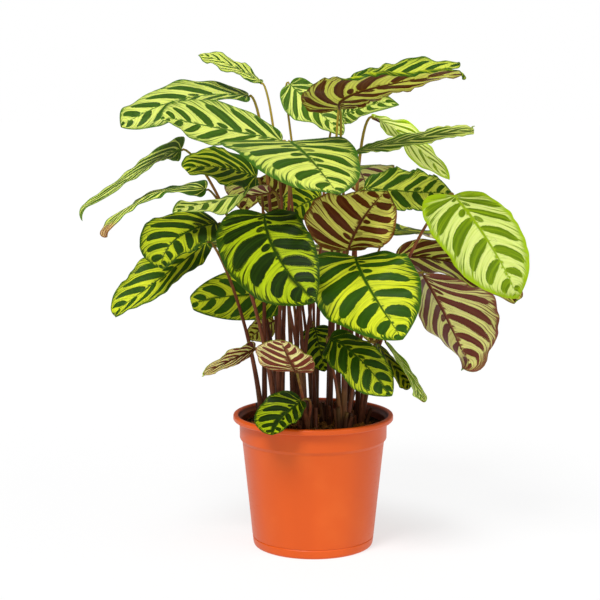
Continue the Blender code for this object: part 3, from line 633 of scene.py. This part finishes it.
def makeStalkFinish(shades, look):
    finish = Finish("stalk skin", {"IOR": 1.45, "Specular IOR Level": look["sheen"]})
    share = finish.attribute("stalkPlace", "Fac")
    x, y, z = finish.onObject().parts()
    streak = finish.noise(finish.vector(x * 6, y * 6, z), 90, 3)
    patch = finish.noise(finish.onObject(), 28)
    # The skin ramp's foot holds painted shade among the stalks by the soil
    skin = finish.blend(streak.rise(0.42, 0.66) * 0.6, finish.shade(share, shades["skin"]), shades["streak"])
    skin = finish.blend(patch.rise(0.5, 0.72) * 0.3, skin, shades["patch"])
    fresh = z.rise(*look["freshHeights"]) * share.rise(0.52, 0.49) * 0.75  # olive near the high leaves
    skin = finish.blend(fresh, skin, shades["fresh"])
    bump = finish.bump(streak, mm(0.25), 0.4)
    return finish.surface(Base_Color=skin, Roughness=look["roughness"] + patch * 0.15, Normal=bump)


def splitCurve(points, share):  # the first part of a curve with four control points
    first, second, third, fourth = points
    a, b, c = (p + (q - p) * share for p, q in ((first, second), (second, third), (third, fourth)))
    d, e = a + (b - a) * share, b + (c - b) * share
    return first, a, d, d + (e - d) * share


def stalkControls(leaf, look):
    ahead, top = neckDirections(leaf)
    neck = leaf["neck"]
    foot = np.array((*shoots[leaf["shoot"]], look["footHeight"]), float)
    outward = (neck - foot) * (1, 1, 0)
    start = foot + unit(outward) * look["footSpread"]
    end = neck - ahead * look["straight"]
    height = (neck[2] - foot[2]) * look["rise"]
    rise = start + outward * look["leanOut"] + np.array((*leaf["lean"], height))
    arrive = end - ahead * look["bendReach"] - top * look["bendReach"] / 2
    return (start, rise, arrive, end), neck, top


def makeTube(name, knots, look):  # knots are (place, handle before, handle after, radius)
    tube = addPiece(bpy.ops.curve.primitive_bezier_curve_add)
    tube.name = name
    curve = tube.data
    curve.resolution_u = look["steps"]
    curve.bevel_depth = mm(1)
    curve.bevel_resolution = look["sides"]
    curve.use_fill_caps = True
    spline = curve.splines[0]
    spline.bezier_points.add(len(knots) - 2)
    for point, (place, before, after, radius) in zip(spline.bezier_points, knots):
        point.handle_left_type = point.handle_right_type = "FREE"
        point.co, point.handle_left, point.handle_right = (Vector(mm(p)) for p in (place, before, after))
        point.radius = radius
    bpy.ops.object.convert(target="MESH")
    return bpy.context.object


def sampleCurve(points, count):
    t = np.linspace(0, 1, count)[:, None]
    a, b, c, d = points
    return (1 - t) ** 3 * a + 3 * t * (1 - t) ** 2 * b + 3 * t ** 2 * (1 - t) * c + t ** 3 * d


def shareAlong(points, controls, neck, ribEnd):  # 0 at the foot, 0.5 at the neck, 1 at the midrib's end
    stalkCount, neckCount, ribCount = 60, 5, 30
    rib = neck + (ribEnd - neck) * np.linspace(0, 1, ribCount)[1:, None]
    route = np.vstack((sampleCurve(controls, stalkCount), np.linspace(controls[3], neck, neckCount)[1:], rib))
    shares = np.concatenate((np.linspace(0, 0.5, stalkCount + neckCount - 1), np.linspace(0.5, 1, ribCount)[1:]))
    return shares[np.argmin(np.linalg.norm(points[:, None] - route[None], axis=2), axis=1)]


def makeStalk(name, leaf, look, chance):
    controls, neck, top = stalkControls(leaf, look)
    start, rise, arrive, end = controls
    tip, control = leaf["tip"], middleControl(leaf)
    share, neckRadius = look["ribShare"], look["neckRadius"] * chance
    ribRadius = neckRadius * look["ribSlim"]
    under = -top * (ribRadius + look["ribGap"])
    bend = neck + (control - neck) * share
    ribEnd = (1 - share) ** 2 * neck + 2 * share * (1 - share) * control + share ** 2 * tip
    straight = (neck - end) / 3
    stalk = makeTube("stalk_" + name, [
        (start, start, rise, look["footRadius"] * chance),
        (end, arrive, end + straight, neckRadius),
        (neck + under, neck + under - straight, neck + under * 1.3 + (bend - neck) * 2 / 3, ribRadius),
        (ribEnd + under * 0.7, ribEnd + under * 0.9 + (bend - ribEnd) * 2 / 3, ribEnd + under * 0.7,
         look["ribTipRadius"]),
    ], look)
    giveAttribute(stalk, "stalkPlace", shareAlong(readPoints(stalk) * 1000, controls, neck, ribEnd))

    low, high = look["sheathShares"]
    sheathShare = low + (high - low) * (chance * 2.5 % 1)
    a, b, c, d = splitCurve(controls, sheathShare)
    sheath = makeTube("sheath_" + name, [(a, a, b, look["sheathRadius"]), (d, c, d, look["sheathTip"])], look)
    heights = readPoints(sheath)[:, 2] * 1000
    lowest, spread = look["sheathShades"]
    giveAttribute(sheath, "stalkPlace", lowest + spread * sheathShare * (heights - a[2]) / (d[2] - a[2]))
    return [stalk, sheath]


def makeHusk(name, look, dice):  # a short dry sheath that an old leaf left at the shoot's foot
    angle, spread = dice.uniform(0, 2 * math.pi), look["huskSpread"] * dice.uniform(0.4, 1)
    foot = np.array((*shoots[name], look["footHeight"]), float)
    start = foot + (spread * math.cos(angle), spread * math.sin(angle), 0)
    height, bend = dice.uniform(*look["huskHeights"]), look["huskBend"]
    middle = start + (start - foot) * look["huskLean"] + (0, 0, height / 2)
    sway = (dice.uniform(-bend, bend), dice.uniform(-bend, bend), height)
    end = start + (start - foot) * look["huskLean"] * 5 + sway
    knots = [(start, start, middle, look["huskRadius"]), (end, middle, end, look["huskTip"])]
    husk = makeTube("husk", knots, look)
    # Husks take the ramp's dark foot: painted shade by the soil over their own dry brown
    giveAttribute(husk, "stalkPlace", dice.uniform(*look["huskShades"]))
    return husk


def makeShoot(name, finish, look, dice):
    tubes = []
    for leafName, leaf in leaves.items():
        if leaf["shoot"] == name:
            tubes += makeStalk(leafName, leaf, look, dice.uniform(*look["girths"]))
    tubes += [makeHusk(name, look, dice) for _ in range(look["husks"])]
    shoot = joinPieces(tubes, "stalks_of_" + name)
    shoot.data.materials.clear()
    shoot.data.materials.append(finish)
    bpy.ops.object.shade_smooth_by_angle(angle=math.radians(look["smoothAngle"]))
    applyPlace(shoot)
    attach(shoot, "root")
    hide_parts("stalks_" + name)


stalkSkin = makeStalkFinish(stalkShades, stalkLook)
stalkDice = random.Random(stalkLook["seed"])
for name in shoots:
    makeShoot(name, stalkSkin, stalkLook, stalkDice)
print("shoots made:", len(shoots))


potLook = {
    "turns": 144, "height": 158, "rimRadius": 95, "openingRadius": 89, "rimDepth": 7, "collarRadius": 87.5,
    "collarBottom": 129, "bodyTopRadius": 84.4, "baseRadius": 71.5, "grooveHeight": 11, "grooveDepth": 0.8,
    "innerBaseRadius": 69.4, "innerTopRadius": 85.6, "innerDiscRadius": 30, "floorHeight": 4,
    "footDiscRadius": 32, "footRingRadius": 58, "recessDepth": 2, "rounding": 0.9, "roundingAngle": 14,
    "roundingSteps": 3, "smoothAngle": 40,
    "drainHoles": 8, "drainRadius": 4.5, "drainCircle": 45, "drillHeight": 2, "drillLength": 12, "drillTurns": 32,
    # The deeper shade is painted: it darkens the bands between the painted reflection columns
    "shade": colour(211, 83, 3), "reflectionBandShade": colour(197, 74, 3), "paleShade": colour(218, 97, 24),
    "roughness": 0.36, "paintedShadeInside": colour(66, 32, 18),  # painted shade darkens the wall inside and the lip, where the rim shades them
    "wallRadii": (mm(86.8), mm(86.2)), "wallHeights": (mm(130), mm(131)),
    "lipRadii": (mm(90.5), mm(88)), "lipBottom": (mm(151.5), mm(152.5)), "lipTop": (mm(158.5), mm(155)),
}


def makePotFinish(look):
    finish = Finish("terracotta plastic", {"IOR": 1.48, "Specular IOR Level": 0.35})
    place = finish.onObject()
    x, y, z = place.parts()
    around = finish.node("ShaderNodeMath", {"operation": "ARCTAN2"}, {0: y, 1: x})
    reflectionBands = finish.noise(finish.vector(around * 1.4, z * 1.5, 0), 1, 1)
    cloud = finish.noise(place, 16, 3)
    grain = finish.noise(place, 1600)
    scuff = finish.noise(finish.vector(around * 3, z * 140, 0), 3, 4)
    # Painted reflection: soft vertical bands, darker between lighter columns, stand in for the lamps' reflections
    shade = finish.blend(reflectionBands.rise(0.35, 0.7) * 0.45, look["shade"], look["reflectionBandShade"])
    shade = finish.blend(cloud.rise(0.5, 0.75) * 0.4, shade, look["paleShade"])
    shade = finish.blend(scuff.rise(0.64, 0.8) * 0.25, shade, look["paleShade"])
    radius = (x * x + y * y) ** 0.5
    wall = radius.rise(*look["wallRadii"]) * z.rise(*look["wallHeights"])
    lip = radius.rise(*look["lipRadii"]) * z.rise(*look["lipBottom"]) * z.rise(*look["lipTop"])
    # Painted shade: the wall inside and the lip's inner face are darkened as if the rim shades them
    shade = finish.blend(wall.orElse(lip) * 0.85, shade, look["paintedShadeInside"])
    bump = finish.bump(grain * 0.4 + cloud * 2, mm(0.12), 0.3)
    rough = look["roughness"] + scuff.rise(0.5, 0.8) * 0.14 + cloud * 0.08
    return finish.surface(Base_Color=shade, Roughness=rough, Normal=bump)


def bodyRadius(height, look):
    share = height / look["collarBottom"]
    return look["baseRadius"] + (look["bodyTopRadius"] - look["baseRadius"]) * share


def innerRadius(height, look):
    share = (height - look["floorHeight"]) / (look["height"] - look["rimDepth"] - look["floorHeight"])
    return look["innerBaseRadius"] + (look["innerTopRadius"] - look["innerBaseRadius"]) * share


def potProfile(look):  # (radius, height) from the middle of the underside, out and up, and down inside
    top, floor, groove, step = (look[key] for key in ("height", "floorHeight", "grooveHeight", "collarBottom"))
    disc, ring, recess = look["footDiscRadius"], look["footRingRadius"], look["recessDepth"]
    base, collar, rim, opening = (look[key + "Radius"] for key in ("base", "collar", "rim", "opening"))
    lip = top - look["rimDepth"]
    return [
        (disc, 0), (disc + 1.5, recess), (ring - 1.5, recess), (ring, 0),
        (base - 2.5, 0), (base - 0.8, 0.8), (base, groove / 4),
        (bodyRadius(groove - 1, look), groove - 1), (bodyRadius(groove, look) - look["grooveDepth"], groove),
        (bodyRadius(groove + 1, look), groove + 1), (bodyRadius(groove * 5, look), groove * 5),
        (look["bodyTopRadius"], step - 2.8), (collar - 0.9, step - 0.2), (collar - 0.2, step + 1.2),
        (collar, lip - 0.8), (collar + 0.8, lip), (rim - 1, lip + 0.3), (rim, lip + 1.5), (rim, top - 2),
        (rim - 0.6, top - 0.6), (rim - 2, top), (opening + 1.2, top), (opening, top - 1.2),
        (opening - 1, top - 4), (look["innerTopRadius"], lip), (innerRadius(floor + 1.5, look), floor + 1.5),
        (look["innerBaseRadius"] - 1.5, floor), (look["innerDiscRadius"], floor),
    ]


def turnProfile(name, profile, turns):  # one ring, extruded and resized from each point to the next
    radius, height = profile[0]
    piece = addPiece(bpy.ops.mesh.primitive_circle_add, vertices=turns, radius=mm(radius),
                     location=(0, 0, mm(height)), fill_type="NGON")
    piece.name = name
    applyPlace(piece)
    editAll()
    for nextRadius, nextHeight in profile[1:]:
        bpy.ops.mesh.extrude_edges_move(TRANSFORM_OT_translate={"value": (0, 0, mm(nextHeight - height))})
        bpy.ops.transform.resize(value=(nextRadius / radius, nextRadius / radius, 1))
        radius, height = nextRadius, nextHeight
    bpy.ops.mesh.edge_face_add()
    bpy.ops.mesh.select_all(action="SELECT")
    bpy.ops.mesh.normals_make_consistent(inside=False)
    bpy.ops.object.mode_set(mode="OBJECT")
    return piece


def makeDrill(look):  # one pin for each drain hole
    pins = []
    for number in range(look["drainHoles"]):
        angle = 2 * math.pi * number / look["drainHoles"]
        x, y = mm(look["drainCircle"]) * math.cos(angle), mm(look["drainCircle"]) * math.sin(angle)
        pins.append(addPiece(bpy.ops.mesh.primitive_cylinder_add, vertices=look["drillTurns"],
                             radius=mm(look["drainRadius"]), depth=mm(look["drillLength"]),
                             location=(x, y, mm(look["drillHeight"]))))
    drill = joinPieces(pins, "drill")
    applyPlace(drill)
    return drill


def makePot(look, finish):
    pot = turnProfile("nursery_pot", potProfile(look), look["turns"])
    drill = makeDrill(look)
    holes = pot.modifiers.new("drain holes", "BOOLEAN")
    holes.object = drill
    holes.solver = "EXACT"
    applyModifiers(pot)
    bpy.data.objects.remove(drill)
    rounding = pot.modifiers.new("rounding", "BEVEL")
    rounding.limit_method = "ANGLE"
    rounding.angle_limit = math.radians(look["roundingAngle"])
    rounding.width = mm(look["rounding"])
    rounding.segments = look["roundingSteps"]
    applyModifiers(pot)
    bpy.ops.object.shade_smooth_by_angle(angle=math.radians(look["smoothAngle"]))
    pot.data.materials.append(finish)
    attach(pot, "root")
    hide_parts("pot")


makePot(potLook, makePotFinish(potLook))
print("pot made")


soilLook = {
    "turns": 180, "rings": 56, "top": 146, "mound": 2, "floor": 4.3, "discRadius": 20, "clearance": 0.45,
    "lumps": (0.05, 3.1, 1.6), "grit": (0.35, 7.7, 0.9),  # each its density, its seed and its height
    "relief": 0.8, "sink": 0.4, "plugScale": 260, "seed": 11, "smoothAngle": 40,
    "bits": {  # how many, their sizes, how high they lie, how flat they are, their shades and its scale
        "soil crumbs": (1300, (0.7, 2.6), 0.3, 0.7, "dark", "mid", 420),
        "bark chips": (150, (1.6, 3.4), 0.2, 0.3, "mid", "bark", 300),
        "soil fibres": (420, (6, 17), 0.05, 1, "light", "fibreShade", 200),
    },
    "crumbSeeds": (3, 8, 21, 34), "crumbJitter": 0.35, "chipSeeds": (5, 13),
    "fibreRadius": 0.22, "fibreTaper": 0.6, "fibreBends": (0.25, -0.15, 0.4), "steps": 5, "sides": 0,
    "dark": colour(18, 10, 4), "mid": colour(44, 27, 12), "light": colour(92, 58, 26),
    "bark": colour(104, 66, 36), "fibreShade": colour(138, 92, 40),
}


def makeSoilFinish(name, look, dark, light, scale):
    finish = Finish(name, {"IOR": 1.4, "Specular IOR Level": 0.1})
    place = finish.onObject()
    lumps = finish.noise(place, scale, 3)
    dust = finish.noise(place, scale * 6, 3)
    shade = finish.blend(lumps.rise(0.35, 0.68), look[dark], look[light])
    shade = finish.blend(dust.rise(0.6, 0.75) * 0.5, shade, look["light"])
    bump = finish.bump(lumps + dust, mm(0.8), 0.6)
    return finish.surface(Base_Color=shade, Roughness=0.82 + dust * 0.15, Normal=bump)


def soilHeight(x, y, look):  # the height of the soil's top at a place in the plan
    mound = look["mound"] * (1 - (math.hypot(x, y) / innerRadius(look["top"], potLook)) ** 2)
    lumps, grit = (noise.noise(Vector((x * density, y * density, seed))) * height
                   for density, seed, height in (look["lumps"], look["grit"]))
    return look["top"] - look["mound"] + mound + (lumps + grit) * look["relief"] - look["sink"]


def makeSoilPlug(look):
    wall = innerRadius(look["top"], potLook) - look["clearance"]
    base = innerRadius(look["floor"] + 3, potLook) - look["clearance"]
    edge = look["top"] - look["mound"]
    rings = [(wall - 1.5 - (wall - 4) * step / look["rings"], edge) for step in range(look["rings"])]
    profile = [(look["discRadius"], look["floor"]), (base - 3, look["floor"]), (base, look["floor"] + 3),
               (wall, edge - 3), (wall, edge - 0.5)]
    soil = turnProfile("soil_top", profile + rings, look["turns"])
    points = readPoints(soil) * 1000
    for point in points:
        if point[2] > edge - 0.7:
            point[2] = soilHeight(point[0], point[1], look)
    writePoints(soil, mm(points))
    return soil


def makeCrumb(seed, look):
    crumb = addPiece(bpy.ops.mesh.primitive_ico_sphere_add, subdivisions=1, radius=mm(1))
    editAll()
    bpy.ops.transform.vertex_random(offset=mm(look["crumbJitter"]), uniform=0.4, seed=seed)
    bpy.ops.object.mode_set(mode="OBJECT")
    return crumb


def makeFibre(bend, look):  # 1 mm long, and scattered at its real length
    start, middle, end = np.zeros(3), np.array((0, bend, bend / 3)), np.array((1, bend / 2, 0))
    radius = look["fibreRadius"]
    knots = [(start, start, middle, radius), (end, end - (2, -bend, 0), end, radius * look["fibreTaper"])]
    return makeTube("fibre", knots, look)


def layBits(name, bases, look, dice):  # copies of the bases all over the soil
    count, sizes, lift, flatness, *pattern = look["bits"][name]
    finish = makeSoilFinish(name, look, *pattern)
    wall = innerRadius(look["top"], potLook) - look["clearance"] - sizes[1]
    bits = []
    for number in range(count):
        angle, radius = dice.uniform(0, 2 * math.pi), wall * math.sqrt(dice.random())
        x, y = radius * math.cos(angle), radius * math.sin(angle)
        size = dice.uniform(*sizes)
        bit = copyPiece(bases[number % len(bases)], "bit")
        bit.location = mm(np.array((x, y, soilHeight(x, y, look) + size * lift)))
        bit.rotation_euler = (dice.uniform(-0.5, 0.5), dice.uniform(-0.5, 0.5), dice.uniform(0, 2 * math.pi))
        bit.scale = (size, size * dice.uniform(0.6, 1), size * flatness)
        bit.data.materials.clear()
        bit.data.materials.append(finish)
        bits.append(bit)
    laid = joinPieces(bits, "bits")
    applyPlace(laid)
    for base in bases:
        bpy.data.objects.remove(base)
    return laid


def makeSoil(look):
    dice = random.Random(look["seed"])
    plug = makeSoilPlug(look)
    plug.data.materials.append(makeSoilFinish("potting soil", look, "dark", "mid", look["plugScale"]))
    bases = {
        "soil crumbs": [makeCrumb(seed, look) for seed in look["crumbSeeds"]],
        "bark chips": [makeCrumb(seed, look) for seed in look["chipSeeds"]],
        "soil fibres": [makeFibre(bend, look) for bend in look["fibreBends"]],
    }
    soil = joinPieces([plug] + [layBits(name, bases[name], look, dice) for name in bases], "soil_and_bits")
    bpy.ops.object.shade_smooth_by_angle(angle=math.radians(look["smoothAngle"]))
    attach(soil, "root")
    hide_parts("soil")


makeSoil(soilLook)
print("soil made")


stageLook = {
    "floorSize": 60, "nearShade": (0.34, 0.34, 0.344, 1), "nearGlow": (0.64, 0.64, 0.64, 1),
    "farShade": (0.11, 0.11, 0.111, 1), "farGlow": (0.885, 0.885, 0.885, 1),
    "nearReach": (mm(100), mm(260)),  # the shadow is deepest by the pot
    "skyShade": (1, 1, 1, 1), "skyStrength": 0.26,
    "cameraPlace": (-0.0157, -1.749, 0.53), "cameraTilt": 82.3, "lens": 90,
    "lamps": {  # the way to each lamp, how wide it looks, and its strength
        "key": ((-0.5, -0.9, 1.35), 22, 2.6),
        "fill": ((0.9, -0.7, 0.8), 50, 0.8),
        "front": ((0.15, -1, 0.12), 40, 0.65),
    },
}


def makeFloor(look):
    floor = addPiece(bpy.ops.mesh.primitive_plane_add, size=look["floorSize"])
    floor.name = "floor"
    finish = Finish("pale floor", {"Roughness": 0.9, "Specular IOR Level": 0, "Emission Strength": 1})
    x, y, _ = finish.onObject().parts()
    away = ((x * x + y * y) ** 0.5).rise(*look["nearReach"])
    shade = finish.blend(away, look["nearShade"], look["farShade"])
    glow = finish.blend(away, look["nearGlow"], look["farGlow"])
    floor.data.materials.append(finish.surface(Base_Color=shade, Emission_Color=glow))


def makeSky(look):  # the backdrop shows white but lights less
    world = bpy.data.worlds.new("studio")
    world.use_nodes = True
    nodes, links = world.node_tree.nodes, world.node_tree.links
    sky = nodes["Background"]
    sky.inputs["Color"].default_value = look["skyShade"]
    seen = nodes.new("ShaderNodeLightPath")
    strength = nodes.new("ShaderNodeMapRange")
    strength.inputs["To Min"].default_value = look["skyStrength"]
    links.new(seen.outputs["Is Camera Ray"], strength.inputs["Value"])
    links.new(strength.outputs["Result"], sky.inputs["Strength"])
    bpy.context.scene.world = world


def makeLamps(look):
    for name, (towards, width, strength) in look["lamps"].items():
        lamp = addPiece(bpy.ops.object.light_add, type="SUN", location=towards)
        lamp.name = name
        lamp.data.angle = math.radians(width)
        lamp.data.energy = strength
        lamp.rotation_euler = Vector(towards).to_track_quat("Z", "Y").to_euler()


def makeCamera(look):
    camera = addPiece(bpy.ops.object.camera_add, location=look["cameraPlace"],
                      rotation=(math.radians(look["cameraTilt"]), 0, 0))
    camera.data.lens = look["lens"]
    bpy.context.scene.camera = camera
    bpy.context.scene.view_settings.view_transform = "Standard"


makeFloor(stageLook)
makeSky(stageLook)
makeLamps(stageLook)
makeCamera(stageLook)
print("stage set")
